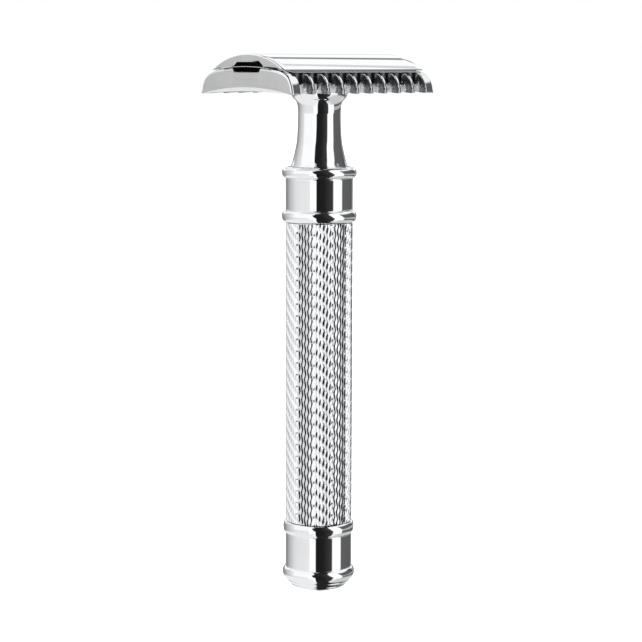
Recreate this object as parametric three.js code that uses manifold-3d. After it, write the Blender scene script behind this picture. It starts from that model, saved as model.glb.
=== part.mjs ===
// Three-piece double-edge safety razor with an open comb and a long knurled handle.
// Millimetres, +Z up along the handle, +X along the blade, +Y across it.
// The origin is the middle of the flat foot the razor stands on.
import * as THREE from 'three';
import { mergeVertices } from 'three/addons/utils/BufferGeometryUtils.js';
import Module from 'manifold-3d';

const wasm = await Module();
wasm.setup();

// ---------------------------------------------------------------- driving dimensions
const SEG = 48;                 // facets round a turned piece
const FIT = 0.03;               // gap between two pieces that touch

// head
const HEAD_LENGTH = 42.0;       // comb plate, along the blade
const COMB_WIDTH = 25.0;        // over the tooth tips
const CAP_LENGTH = 41.2;
const CAP_WIDTH = 19.5;
const TIP_Z = 102.0;            // height of the tooth tips
const CROWN_RISE = 5.35;        // blade's middle above the tooth tips
const BLADE_SAG = 0.0094;       // blade drops by BLADE_SAG * y * y
const BLADE_LENGTH = 42.8;
const BLADE_BODY_LENGTH = 37.6; // the part that is full width
const BLADE_HALF_WIDTH = 10.9;
const BLADE_TAB_HALF = 6.5;
const BLADE_T = 0.10;
const CAP_APEX = 7.8;           // above the tooth tips
const CAP_EDGE_T = 0.26;
const CORNER_RELIEF = 0.30;     // cap's underside is hollowed past the blade's corners
const TOOTH_PITCH = 4.2;
const SLOT_COUNT = 9;
const SLOT_HALF = 1.72;
const SLOT_ROOT_Y = 9.35;       // where the round end of a slot reaches
const NOTCH_DEPTH = 3.0;        // end notches, along X
const UNDER_RISE = 0.55;        // arch of the plate's underside
const END_ARCH_RISE = 1.35;     // deeper arch at the two end faces, run out at 45 degrees
const SEAT_R = 6.1, SEAT_Z = 0.7;   // flat round seat for the handle, above the tooth tips
const PIN_X = 13.0;
const PIN_R = 1.5;
const STUD_R = 2.5;             // M5 x 0.8
const STUD_PITCH = 0.8;
const STUD_END_Z = 93.2;

// handle heights
const FOOT_BEAD_Z = 3.45, FOOT_BEAD_R = 7.45;
const LOW_BAND_Z0 = 4.75, LOW_BAND_Z1 = 11.75, LOW_BAND_R = 6.83;
const LOW_BEAD_R = 7.32;
const GRIP_Z0 = 14.3, GRIP_Z1 = 75.95, GRIP_R = 6.86, GRIP_BORE = 5.75;
const COLLAR_BAND_Z0 = 78.5, COLLAR_BAND_Z1 = 84.95, COLLAR_BAND_R = 6.86;
const BEAD_2_R = 7.64, BEAD_1_R = 7.62;
const COLLAR_TOP = 87.2;
const NECK_TOP = 103.3;
const SPIGOT_R = 5.68;
const NECK_SPIGOT_R = 3.9;
const ROD_R = 1.95;             // M4 tie rod

// ---------------------------------------------------------------- helpers
// closed BufferGeometry -> manifold solid, faces turned outward
function solid(geometry) {
  let g = geometry.clone();
  g.deleteAttribute('normal');
  g.deleteAttribute('uv');
  g = mergeVertices(g, 1e-5);
  const p = g.attributes.position.array;
  const src = g.index.array;
  const tri = [];
  let vol = 0;
  for (let i = 0; i < src.length; i += 3) {
    const a = src[i], b = src[i + 1], c = src[i + 2];
    if (a === b || b === c || a === c) continue;
    tri.push(a, b, c);
    const ax = p[3 * a], ay = p[3 * a + 1], az = p[3 * a + 2];
    const bx = p[3 * b], by = p[3 * b + 1], bz = p[3 * b + 2];
    const cx = p[3 * c], cy = p[3 * c + 1], cz = p[3 * c + 2];
    vol += ax * (by * cz - bz * cy) + ay * (bz * cx - bx * cz) + az * (bx * cy - by * cx);
  }
  if (vol < 0) for (let i = 0; i < tri.length; i += 3) [tri[i + 1], tri[i + 2]] = [tri[i + 2], tri[i + 1]];
  return new wasm.Manifold(new wasm.Mesh({
    numProp: 3, vertProperties: new Float32Array(p), triVerts: new Uint32Array(tri),
  }));
}

function geometryOf(man) {
  const m = man.getMesh();
  const g = new THREE.BufferGeometry();
  const n = m.vertProperties.length / m.numProp;
  const pos = new Float32Array(n * 3);
  for (let i = 0; i < n; i++) for (let k = 0; k < 3; k++) pos[3 * i + k] = m.vertProperties[i * m.numProp + k];
  g.setAttribute('position', new THREE.BufferAttribute(pos, 3));
  g.setIndex(new THREE.BufferAttribute(new Uint32Array(m.triVerts), 1));
  g.computeVertexNormals();
  return g;
}

// closed (radius, height) loop turned about +Z
function turned(loop, seg = SEG) {
  const pts = loop.map(([r, z]) => new THREE.Vector2(Math.max(r, 0), z));
  const first = pts[0], last = pts[pts.length - 1];
  if (!(first.x === 0 && last.x === 0)) pts.push(first.clone());
  const g = new THREE.LatheGeometry(pts, seg);
  g.rotateX(Math.PI / 2);
  return solid(g);
}

// closed (y, z) outline swept along +X
function sweptX(outline, x0, x1) {
  const s = new THREE.Shape(outline.map(([y, z]) => new THREE.Vector2(y, z)));
  const g = new THREE.ExtrudeGeometry(s, { depth: x1 - x0, bevelEnabled: false, steps: 1 });
  const m = new THREE.Matrix4().makeBasis(
    new THREE.Vector3(0, 1, 0), new THREE.Vector3(0, 0, 1), new THREE.Vector3(1, 0, 0));
  m.setPosition(x0, 0, 0);
  g.applyMatrix4(m);
  return solid(g);
}

// closed (x, y) outline raised along +Z
function raised(outline, z0, z1) {
  const s = new THREE.Shape(outline.map(([x, y]) => new THREE.Vector2(x, y)));
  const g = new THREE.ExtrudeGeometry(s, { depth: z1 - z0, bevelEnabled: false, steps: 1 });
  g.translate(0, 0, z0);
  return solid(g);
}

function rod(r, z0, z1, x = 0, y = 0, seg = 32) {
  const g = new THREE.CylinderGeometry(r, r, z1 - z0, seg);
  g.rotateX(Math.PI / 2);
  g.translate(x, y, (z0 + z1) / 2);
  return solid(g);
}

// bead from (r, z0) to (r, z1) that swells to rMax; a larger power gives a flatter face
function bead(r, z0, z1, rMax, n = 8, power = 3) {
  const out = [];
  const zc = (z0 + z1) / 2, h = (z1 - z0) / 2;
  for (let i = 0; i <= n; i++) {
    const t = -Math.cos((Math.PI * i) / n);
    const s = Math.sqrt(Math.max(0, 1 - Math.pow(Math.abs(t), power)));
    out.push([r + (rMax - r) * s, zc + t * h]);
  }
  return out;
}

const bladeZ = (y) => TIP_Z + CROWN_RISE - BLADE_SAG * y * y;   // blade's mid surface

// ---------------------------------------------------------------- blade
function bladeStrip(offLow, offHigh, half, n) {
  const o = [];
  for (let i = 0; i <= n; i++) { const y = -half + (2 * half * i) / n; o.push([y, bladeZ(y) + offLow]); }
  for (let i = n; i >= 0; i--) { const y = -half + (2 * half * i) / n; o.push([y, bladeZ(y) + offHigh]); }
  return o;
}
function makeBlade() {
  // thin arched strip, ground to an edge along both long sides
  const n = 18, o = [];
  for (let i = 0; i <= n; i++) {
    const y = -BLADE_HALF_WIDTH + 0.45 + ((2 * BLADE_HALF_WIDTH - 0.9) * i) / n;
    o.push([y, bladeZ(y) - BLADE_T / 2]);
  }
  o.push([BLADE_HALF_WIDTH, bladeZ(BLADE_HALF_WIDTH) - 0.008]);
  o.push([BLADE_HALF_WIDTH, bladeZ(BLADE_HALF_WIDTH) + 0.008]);
  for (let i = n; i >= 0; i--) {
    const y = -BLADE_HALF_WIDTH + 0.45 + ((2 * BLADE_HALF_WIDTH - 0.9) * i) / n;
    o.push([y, bladeZ(y) + BLADE_T / 2]);
  }
  o.push([-BLADE_HALF_WIDTH, bladeZ(BLADE_HALF_WIDTH) + 0.008]);
  o.push([-BLADE_HALF_WIDTH, bladeZ(BLADE_HALF_WIDTH) - 0.008]);
  let b = sweptX(o, -BLADE_LENGTH / 2, BLADE_LENGTH / 2);
  // four corners stepped in to leave a tab at each end
  const z0 = TIP_Z, z1 = TIP_Z + 9;
  for (const sx of [-1, 1]) for (const sy of [-1, 1]) {
    const x0 = sx * (BLADE_BODY_LENGTH / 2), x1 = sx * (BLADE_LENGTH / 2 + 1);
    const y0 = sy * BLADE_TAB_HALF, y1 = sy * 12;
    const box = new THREE.BoxGeometry(Math.abs(x1 - x0), Math.abs(y1 - y0), z1 - z0);
    box.translate((x0 + x1) / 2, (y0 + y1) / 2, (z0 + z1) / 2);
    b = b.subtract(solid(box));
  }
  // centre slot with a round hole for the stud and one for each pin
  const slot = new THREE.BoxGeometry(33.0, 1.5, z1 - z0);
  slot.translate(0, 0, (z0 + z1) / 2);
  b = b.subtract(solid(slot));
  b = b.subtract(rod(STUD_R + 0.25, z0, z1));
  for (const s of [-1, 1]) b = b.subtract(rod(PIN_R + 0.15, z0, z1, s * PIN_X, 0, 24));
  return b;
}

// ---------------------------------------------------------------- comb plate
function makeCombPlate() {
  const H = COMB_WIDTH / 2;
  const t = TIP_Z;
  const half = [];                              // crown to tooth tip, y > 0
  for (const y of [0, 2, 4, 6, 7.5, 8.6]) half.push([y, bladeZ(y) - BLADE_T / 2 - FIT]);
  half.push([9.4, t + 4.34], [10.0, t + 4.13], [10.6, t + 3.84], [11.2, t + 3.41], [11.7, t + 2.82],
            [12.1, t + 2.06], [12.35, t + 1.25], [12.46, t + 0.6], [H, t + 0.1], [H - 0.07, t]);
  // underside: a shallow arch from tip to tip
  const under = [];
  for (const y of [12.0, 11.0, 9.5, 7.5, 5.0, 2.5, 0]) under.push([y, t + UNDER_RISE * (1 - (y / 12.4) ** 2)]);
  const outline = [...half];
  for (const p of under) outline.push(p);
  for (let i = under.length - 2; i >= 0; i--) outline.push([-under[i][0], under[i][1]]);
  for (let i = half.length - 1; i > 0; i--) outline.push([-half[i][0], half[i][1]]);
  let p = sweptX(outline, -HEAD_LENGTH / 2, HEAD_LENGTH / 2);
  // flat round seat that stands on the handle's flange
  p = p.subtract(rod(SEAT_R, t - 2, t + SEAT_Z, 0, 0, SEG));
  // deeper arch at each end face, run out inwards
  for (const s of [-1, 1]) {
    const o = [[-13.2, t - 3.0]];
    for (let y = -12.4; y <= 12.41; y += 1.55) o.push([y, t + END_ARCH_RISE * (1 - (y / 12.4) ** 2) - 0.001]);
    o.push([13.2, t - 3.0]);
    const shape = new THREE.Shape(o.map(([y, z]) => new THREE.Vector2(y, z)));
    const g = new THREE.ExtrudeGeometry(shape, { depth: 2.4, bevelEnabled: false, steps: 1 });
    const m = new THREE.Matrix4().set(0, 0, s, s * (HEAD_LENGTH / 2 - 1.6), 1, 0, 0, 0, 0, 1, 1, -1.6, 0, 0, 0, 1);
    g.applyMatrix4(m);
    p = p.subtract(solid(g));
  }
  // centre hole for the stud, pin holes
  p = p.subtract(rod(STUD_R + 0.15, t - 2, t + 8));
  for (const s of [-1, 1]) p = p.subtract(rod(PIN_R + 0.15, t - 2, t + 8, s * PIN_X, 0, 24));
  // slots between the teeth, round at the root
  const reach = H + 2;
  for (let i = 0; i < SLOT_COUNT; i++) {
    const x = (i - (SLOT_COUNT - 1) / 2) * TOOTH_PITCH;
    for (const sy of [-1, 1]) {
      const o = [];
      const cy = SLOT_ROOT_Y + SLOT_HALF;
      for (let k = 0; k <= 8; k++) {
        const a = Math.PI + (Math.PI * k) / 8;
        o.push([x + SLOT_HALF * Math.cos(a), sy * (cy + SLOT_HALF * Math.sin(a))]);
      }
      o.push([x + SLOT_HALF, sy * reach], [x - SLOT_HALF, sy * reach]);
      if (sy < 0) o.reverse();
      p = p.subtract(raised(o, t - 2, t + 8));
    }
  }
  // end notches that leave room for the blade's tabs
  for (const s of [-1, 1]) {
    const o = [[-4.0, t + 5.9], [-4.0, t + 5.25], [-3.35, t + 4.35], [3.35, t + 4.35], [4.0, t + 5.25], [4.0, t + 5.9]];
    const x0 = s * (HEAD_LENGTH / 2 - NOTCH_DEPTH), x1 = s * (HEAD_LENGTH / 2 + 1);
    p = p.subtract(sweptX(o, Math.min(x0, x1), Math.max(x0, x1)));
  }
  return p;
}

// ---------------------------------------------------------------- cap
function makeCap() {
  const t = TIP_Z, H = CAP_WIDTH / 2;
  const edgeZ = bladeZ(H) + BLADE_T / 2 + FIT;
  const o = [];
  for (const y of [-H, -8.4, -7, -5, -2.5, 0, 2.5, 5, 7, 8.4, H]) o.push([y, bladeZ(y) + BLADE_T / 2 + FIT]);
  // domed top: arc through both edges and the apex
  const top = edgeZ + CAP_EDGE_T, rise = t + CAP_APEX - top;
  const R = (H * H + rise * rise) / (2 * rise);
  const a0 = Math.asin(H / R), cz = t + CAP_APEX - R;
  for (let i = 0; i <= 22; i++) {
    const a = a0 - (2 * a0 * i) / 22;
    o.push([R * Math.sin(a), cz + R * Math.cos(a)]);
  }
  let c = sweptX(o, -CAP_LENGTH / 2, CAP_LENGTH / 2);
  for (const s of [-1, 1]) {
    const n = [[-4.0, t + 4.7], [4.0, t + 4.7], [4.0, t + 5.45], [3.05, t + 6.25], [-3.05, t + 6.25], [-4.0, t + 5.45]];
    const x0 = s * (HEAD_LENGTH / 2 - NOTCH_DEPTH), x1 = s * (HEAD_LENGTH / 2 + 1);
    c = c.subtract(sweptX(n, Math.min(x0, x1), Math.max(x0, x1)));
    // shallow hollow past the blade's corners, between the notch and the long edges
    for (const sy of [-1, 1]) {
      const low = (y) => bladeZ(y) + BLADE_T / 2 + FIT;
      const r = [[3.9, low(3.9) - 1], [3.9, low(3.9)]];
      for (const [y, f] of [[5, 0.36], [6, 0.7], [7, 0.95], [7.8, 1], [8.6, 0.75], [9.2, 0.42], [9.75, 0.22], [10.4, 0.2]]) r.push([y, low(y) + CORNER_RELIEF * f]);
      r.push([10.4, low(3.9) - 1]);
      const q = r.map(([y, z]) => [sy * y, z]);
      if (sy < 0) q.reverse();
      const a = s * (BLADE_BODY_LENGTH / 2 - 0.1), b = s * (HEAD_LENGTH / 2 + 1);
      c = c.subtract(sweptX(q, Math.min(a, b), Math.max(a, b)));
    }
  }
  // sockets for the stud and the pins
  c = c.subtract(rod(STUD_R - 0.3 + FIT, t, t + 6.9));
  for (const s of [-1, 1]) c = c.subtract(rod(PIN_R - 0.3 + FIT, t, t + 6.75, s * PIN_X, 0, 24));
  return c;
}
// threaded stud: a thinner root is held in the cap
function makeStud() {
  const t = TIP_Z, seat = bladeZ(STUD_R) + BLADE_T / 2;
  return turned([
    [0, STUD_END_Z], [STUD_R - 0.5, STUD_END_Z], [STUD_R, STUD_END_Z + 0.5], [STUD_R, seat],
    [STUD_R - 0.3, seat], [STUD_R - 0.3, t + 6.85], [0, t + 6.85],
  ], 32);
}
function makePin() {
  const t = TIP_Z, seat = bladeZ(PIN_R) + BLADE_T / 2;
  return turned([
    [0, t + 2.0], [PIN_R - 0.4, t + 2.0], [PIN_R, t + 2.4], [PIN_R, seat],
    [PIN_R - 0.3, seat], [PIN_R - 0.3, t + 6.7], [0, t + 6.7],
  ], 24);
}

// ---------------------------------------------------------------- handle
function makeNeck() {
  const waist = [
    [5.84, COLLAR_TOP + FIT], [5.76, 87.5], [5.62, 87.9], [5.44, 88.45], [5.15, 89.55], [4.87, 90.75], [4.68, 91.7],
    [4.55, 92.7], [4.44, 94.2], [4.37, 96.0], [4.35, 97.8], [4.38, 99.0], [4.48, 99.7], [4.66, 100.2],
    [4.94, 100.6], [5.28, 100.96], [5.58, 101.35], [5.74, 101.9], [5.76, TIP_Z + 0.7 - FIT],
  ];
  return turned([
    [ROD_R + 0.05, 72.6], [NECK_SPIGOT_R - 0.3, 72.6], [NECK_SPIGOT_R, 72.9], [NECK_SPIGOT_R, COLLAR_TOP + FIT],
    ...waist,
    [3.35, TIP_Z + 0.7 - FIT], [3.35, 93.0], [2.75, 93.0], [2.75, 91.6], [0, 90.6],
    [0, 81.2], [ROD_R + 0.05, 80.6],
  ]);
}
// brass bush with the M5 thread, let into the neck's mouth
function makeBush() {
  return turned([
    [STUD_R + 0.05, 93.05], [3.32, 93.05], [3.32, TIP_Z + 0.62], [STUD_R + 0.35, TIP_Z + 0.62], [STUD_R + 0.05, TIP_Z + 0.3],
  ], 32);
}
function makeCollar() {
  return turned([
    [NECK_SPIGOT_R + FIT, 72.9], [5.2, 72.9], [SPIGOT_R, 73.2], [SPIGOT_R, 73.9], [4.85, 73.9], [4.85, 75.2], [SPIGOT_R, 75.2],
    [SPIGOT_R, GRIP_Z1 + FIT], [6.5, GRIP_Z1 + FIT],
    ...bead(6.84, GRIP_Z1 + 0.12, COLLAR_BAND_Z0, BEAD_2_R),
    ...bead(COLLAR_BAND_R, COLLAR_BAND_Z1, COLLAR_TOP - 0.12, BEAD_1_R),
    [6.5, COLLAR_TOP], [NECK_SPIGOT_R + FIT, COLLAR_TOP],
  ]);
}
function makeSeal(z0, z1) {
  return turned([
    [4.9, z0], [5.45, z0], [5.68, z0 + 0.3], [5.68, z1 - 0.3], [5.45, z1], [4.9, z1],
  ], 40);
}
function makeSleeve() {
  return turned([
    [GRIP_BORE, GRIP_Z0 + FIT], [GRIP_R - 0.1, GRIP_Z0 + FIT], [GRIP_R, GRIP_Z0 + 0.2],
    [GRIP_R, GRIP_Z1 - 0.2], [GRIP_R - 0.1, GRIP_Z1 - FIT], [GRIP_BORE, GRIP_Z1 - FIT],
  ]);
}
function makeEndCap() {
  return turned([
    [4.62, 0.5], [4.95, 0.55], [5.3, 0.7], [5.65, 0.95], [6.0, 1.22], [6.35, 1.54], [6.7, 1.88], [7.0, 2.24], [7.22, 2.6],
    [7.38, 3.0], [FOOT_BEAD_R, FOOT_BEAD_Z], [7.41, 3.85], [7.27, 4.22], [7.04, 4.56], [LOW_BAND_R, LOW_BAND_Z0],
    ...bead(LOW_BAND_R, LOW_BAND_Z1, GRIP_Z0 - 0.12, LOW_BEAD_R, 8, 2),
    [6.5, GRIP_Z0 - FIT], [SPIGOT_R, GRIP_Z0 - FIT],
    [SPIGOT_R, 15.5], [4.85, 15.5], [4.85, 16.8], [SPIGOT_R, 16.8], [SPIGOT_R, 17.5], [5.2, 17.8],
    [ROD_R + 0.1, 17.8], [ROD_R + 0.1, 8.0], [4.62, 8.0],
  ]);
}
function makeFootPlug() {
  return turned([
    [0, 0], [3.45, 0], [3.6, 0.06], [3.66, 0.18], [3.66, 0.26], [4.2, 0.28], [4.45, 0.34], [4.57, 0.46],
    [4.57, 3.0], [3.6, 3.0], [3.6, 1.5], [0, 1.5],
  ]);
}
function makeTieRod() {
  return turned([
    [0, 3.6], [ROD_R - 0.35, 3.6], [ROD_R, 3.95], [ROD_R, 80.0], [ROD_R - 0.35, 80.4], [0, 80.4],
  ], 24);
}
function makeNut() {
  const o = [];
  for (let i = 0; i < 6; i++) o.push([4.04 * Math.cos((i * Math.PI) / 3), 4.04 * Math.sin((i * Math.PI) / 3)]);
  return raised(o, 3.95, 7.1).subtract(rod(ROD_R + 0.05, 3, 8, 0, 0, 24));
}
function makeWasher() {
  return turned([[ROD_R + 0.1, 7.13], [4.3, 7.13], [4.3, 7.97], [ROD_R + 0.1, 7.97]], 32);
}

// ---------------------------------------------------------------- scene graph
const material = (color, roughness, metalness) => new THREE.MeshStandardMaterial({ color, roughness, metalness });
function piece(name, man, mat) {
  const m = new THREE.Mesh(geometryOf(man), mat);
  m.name = name;
  return m;
}

const handle = new THREE.Group();
handle.add(
  piece('neck', makeNeck(), material(0xd9dbde, 0.06, 1)),
  piece('thread_bush', makeBush(), material(0xb5913f, 0.3, 1)),
  piece('upper_collar', makeCollar(), material(0xdadcdf, 0.06, 1)),
  piece('upper_seal', makeSeal(74.0, 75.1), material(0x1c1c1d, 0.7, 0)),
  piece('grip_sleeve', makeSleeve(), material(0xd2d4d7, 0.16, 1)),
  piece('tie_rod', makeTieRod(), material(0x9a9c9f, 0.35, 1)),
  piece('end_cap', makeEndCap(), material(0xdadcde, 0.06, 1)),
  piece('lower_seal', makeSeal(15.6, 16.7), material(0x1d1d1e, 0.7, 0)),
  piece('rod_washer', makeWasher(), material(0x8f9194, 0.4, 1)),
  piece('rod_nut', makeNut(), material(0xa08648, 0.35, 1)),
  piece('foot_plug', makeFootPlug(), material(0xd8dadd, 0.08, 1)),
);

const combPlate = new THREE.Group();
combPlate.add(piece('comb_plate', makeCombPlate(), material(0xc9cbce, 0.14, 1)));

const bladeBody = new THREE.Group();
bladeBody.add(piece('blade', makeBlade(), material(0xb9bbbd, 0.22, 1)));

const capBody = new THREE.Group();
const pinLeft = piece('cap_pin_left', makePin(), material(0xc3c5c8, 0.2, 1));
const pinRight = piece('cap_pin_right', makePin(), material(0xc3c5c8, 0.2, 1));
pinLeft.position.x = -PIN_X;
pinRight.position.x = PIN_X;
capBody.add(
  piece('cap', makeCap(), material(0xe0e2e4, 0.05, 1)),
  piece('cap_stud', makeStud(), material(0xb0b2b5, 0.28, 1)),
  pinLeft, pinRight,
);

const razor = new THREE.Group();
razor.name = 'safety_razor';
razor.add(handle, combPlate, bladeBody, capBody);

export default razor;
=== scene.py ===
# Looks of the open-comb safety razor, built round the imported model. Metres, same frame as the CAD.
import math
import bpy
import bmesh
from mathutils import Vector, Matrix, Quaternion
from mathutils.geometry import delaunay_2d_cdt


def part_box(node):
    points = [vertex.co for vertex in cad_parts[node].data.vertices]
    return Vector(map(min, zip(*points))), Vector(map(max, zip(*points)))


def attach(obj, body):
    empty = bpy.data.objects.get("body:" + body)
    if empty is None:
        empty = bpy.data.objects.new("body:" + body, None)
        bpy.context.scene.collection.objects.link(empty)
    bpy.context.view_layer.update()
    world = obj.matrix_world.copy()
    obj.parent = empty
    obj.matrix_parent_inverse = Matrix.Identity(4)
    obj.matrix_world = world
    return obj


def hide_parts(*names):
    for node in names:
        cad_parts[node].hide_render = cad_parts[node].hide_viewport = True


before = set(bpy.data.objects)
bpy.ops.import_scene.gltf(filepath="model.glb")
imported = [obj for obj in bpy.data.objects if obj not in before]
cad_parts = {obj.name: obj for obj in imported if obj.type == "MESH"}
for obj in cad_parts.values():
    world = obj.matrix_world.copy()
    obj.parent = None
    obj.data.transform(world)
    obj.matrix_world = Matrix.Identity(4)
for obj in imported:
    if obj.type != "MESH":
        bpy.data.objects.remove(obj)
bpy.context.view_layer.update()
scene = bpy.context.scene
MM = 0.001

# ------------------------------------------------------------------ sizes taken from the frame (millimetres)
def mm_box(node):
    lo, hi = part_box(node)
    return [c * 1000 for c in lo], [c * 1000 for c in hi]

_lo, _hi = mm_box("comb_plate")
TIP_Z, HALF_L, HALF_W = _lo[2], _hi[0], _hi[1]
_clo, _chi = mm_box("cap")
CAP_HL, CAP_H, APEX = _chi[0], _chi[1], _chi[2] - TIP_Z
_blo, _bhi = mm_box("blade")
BLADE_HL, BLADE_HW = _bhi[0], _bhi[1]
CROWN, SAG, BT = 5.35, 0.0094, 0.10
_slo, _shi = mm_box("grip_sleeve")
GRIP_Z0, GRIP_Z1, GRIP_R = _slo[2], _shi[2], _shi[0]
_klo, _khi = mm_box("upper_collar")
COLLAR_TOP = _khi[2]
_elo, _ehi = mm_box("end_cap")
_nlo, _nhi = mm_box("neck")
NECK_TOP = _nhi[2]
_plo, _phi = mm_box("cap_pin_right")
PIN_R, PIN_X = (_phi[0] - _plo[0]) / 2, (_phi[0] + _plo[0]) / 2
_tlo, _thi = mm_box("cap_stud")
STUD_R, STUD_Z0, STUD_Z1 = _thi[0], _tlo[2], _thi[2]

# ------------------------------------------------------------------ camera at the photograph's angle
AZ, EL, DIST, LENS = -47.1, 7.2, 420.0, 115.05
AIM_Z, AIM_X, ROLL = 55.65, 0.42, 0.14
a, e = math.radians(AZ), math.radians(EL)
back = Vector((math.sin(a) * math.cos(e), -math.cos(a) * math.cos(e), math.sin(e)))
right = Vector((math.cos(a), math.sin(a), 0))
cam_data = bpy.data.cameras.new("camera")
cam_data.sensor_width = 36.0
cam_data.lens = LENS
cam_data.clip_start, cam_data.clip_end = 0.01, 50
cam = bpy.data.objects.new("camera", cam_data)
scene.collection.objects.link(cam)
cam.location = (Vector((0, 0, AIM_Z)) + right * AIM_X + back * DIST) * MM
cam.rotation_mode = "QUATERNION"
cam.rotation_quaternion = (-back).to_track_quat("-Z", "Y") @ Quaternion((0, 0, 1), math.radians(ROLL))
scene.camera = cam
scene.view_settings.view_transform = "Standard"
scene.view_settings.look = "None"
scene.view_settings.exposure = 0.0
scene.view_settings.gamma = 1.0

# ------------------------------------------------------------------ node helpers
class N:
    """Small helper round a node tree."""
    def __init__(self, tree):
        self.t = tree
        self.t.nodes.clear()
    def new(self, kind, **kw):
        n = self.t.nodes.new(kind)
        for k, v in kw.items():
            setattr(n, k, v)
        return n
    def link(self, x, y):
        self.t.links.new(x, y)
    def put(self, socket, v):
        if isinstance(v, bpy.types.NodeSocket):
            self.link(v, socket)
        elif v is not None:
            socket.default_value = v
    def math(self, op, x, y=None, z=None, clamp=False):
        n = self.new("ShaderNodeMath", operation=op)
        n.use_clamp = clamp
        for s, v in zip(n.inputs, (x, y, z)):
            self.put(s, v)
        return n.outputs[0]
    def noise(self, vec, scale, detail=2.0, rough=0.5, distortion=0.0):
        n = self.new("ShaderNodeTexNoise")
        self.put(n.inputs["Vector"], vec)
        n.inputs["Scale"].default_value = scale
        n.inputs["Detail"].default_value = detail
        n.inputs["Roughness"].default_value = rough
        n.inputs["Distortion"].default_value = distortion
        return n.outputs["Fac"]
    def scaled(self, vec, s):
        n = self.new("ShaderNodeMapping")
        self.put(n.inputs["Vector"], vec)
        n.inputs["Scale"].default_value = s
        return n.outputs[0]
    def remap(self, v, f0, f1, t0, t1):
        n = self.new("ShaderNodeMapRange")
        n.clamp = True
        self.put(n.inputs["Value"], v)
        for k, x in zip(("From Min", "From Max", "To Min", "To Max"), (f0, f1, t0, t1)):
            self.put(n.inputs[k], x)
        return n.outputs["Result"]
    def mix(self, fac, c0, c1):
        n = self.new("ShaderNodeMix", data_type="RGBA")
        self.put(n.inputs["Factor"], fac)
        self.put(n.inputs["A"], c0)
        self.put(n.inputs["B"], c1)
        return n.outputs["Result"]
    def ramp(self, v, stops, interp="LINEAR"):
        n = self.new("ShaderNodeValToRGB")
        n.color_ramp.interpolation = interp
        el = n.color_ramp.elements
        while len(el) > 1:
            el.remove(el[-1])
        el[0].position, el[0].color = stops[0][0], (*([stops[0][1]] * 3), 1) if not hasattr(stops[0][1], "__len__") else (*stops[0][1], 1)
        for p, c in stops[1:]:
            x = el.new(p)
            x.color = (c, c, c, 1) if not hasattr(c, "__len__") else (*c, 1)
        self.put(n.inputs["Fac"], v)
        return n.outputs["Color"]
    def bump(self, height, strength, dist, normal=None):
        n = self.new("ShaderNodeBump")
        n.inputs["Strength"].default_value = strength
        n.inputs["Distance"].default_value = dist
        self.put(n.inputs["Height"], height)
        if normal is not None:
            self.link(normal, n.inputs["Normal"])
        return n.outputs[0]

def rgba(r, g, b):
    return (r, g, b, 1.0)

def new_material(name):
    m = bpy.data.materials.new(name)
    m.use_nodes = True
    n = N(m.node_tree)
    out = n.new("ShaderNodeOutputMaterial")
    bs = n.new("ShaderNodeBsdfPrincipled")
    n.link(bs.outputs[0], out.inputs["Surface"])
    tc = n.new("ShaderNodeTexCoord").outputs["Object"]
    return m, n, bs, tc

def chrome(name, tint=(0.90, 0.905, 0.915), low=(0.83, 0.84, 0.86), rough=(0.022, 0.06), lines=(1, 1, 1), line_amt=0.010, line_scale=9000.0,
           wear=True):
    """Polished plate: faint haze and wiping marks in the gloss, fine tool or polishing lines in the bump."""
    m, n, bs, tc = new_material(name)
    bs.inputs["Metallic"].default_value = 1.0
    haze = n.noise(tc, 140.0, 4.0, 0.6, 0.4)
    wipe = n.noise(n.scaled(tc, (1.0, 1.0, 0.16)), 900.0, 3.0, 0.55)
    mixf = n.math("ADD", n.math("MULTIPLY", haze, 0.65), n.math("MULTIPLY", wipe, 0.35))
    n.put(bs.inputs["Base Color"], n.mix(n.remap(mixf, 0.35, 0.7, 0.0, 1.0), rgba(*tint), rgba(*low)))
    n.put(bs.inputs["Roughness"], n.remap(mixf, 0.35, 0.72, rough[0], rough[1]))
    fine = n.noise(n.scaled(tc, lines), line_scale, 3.0, 0.6)
    pits = n.noise(tc, 2600.0, 2.0, 0.5)
    h = n.math("ADD", fine, n.math("MULTIPLY", n.math("GREATER_THAN", pits, 0.78), -0.8))
    n.put(bs.inputs["Normal"], n.bump(h, line_amt, 0.00002))
    return m

def satin(name, base, low, rough, lines, scale, amt, metallic=1.0):
    """Brushed plate: long parallel lines in colour, gloss and height."""
    m, n, bs, tc = new_material(name)
    bs.inputs["Metallic"].default_value = metallic
    s1 = n.noise(n.scaled(tc, lines), scale, 5.0, 0.65)
    s2 = n.noise(n.scaled(tc, lines), scale * 0.31, 3.0, 0.6)
    cloud = n.noise(tc, 260.0, 2.0, 0.5)
    f = n.math("ADD", n.math("MULTIPLY", s1, 0.6), n.math("MULTIPLY", s2, 0.4))
    f2 = n.math("ADD", n.math("MULTIPLY", f, 0.75), n.math("MULTIPLY", cloud, 0.25))
    n.put(bs.inputs["Base Color"], n.mix(n.remap(f2, 0.36, 0.64, 0.0, 1.0), rgba(*low), rgba(*base)))
    n.put(bs.inputs["Roughness"], n.remap(f, 0.3, 0.7, rough[0], rough[1]))
    n.put(bs.inputs["Normal"], n.bump(f, amt, 0.00006))
    return m

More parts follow.
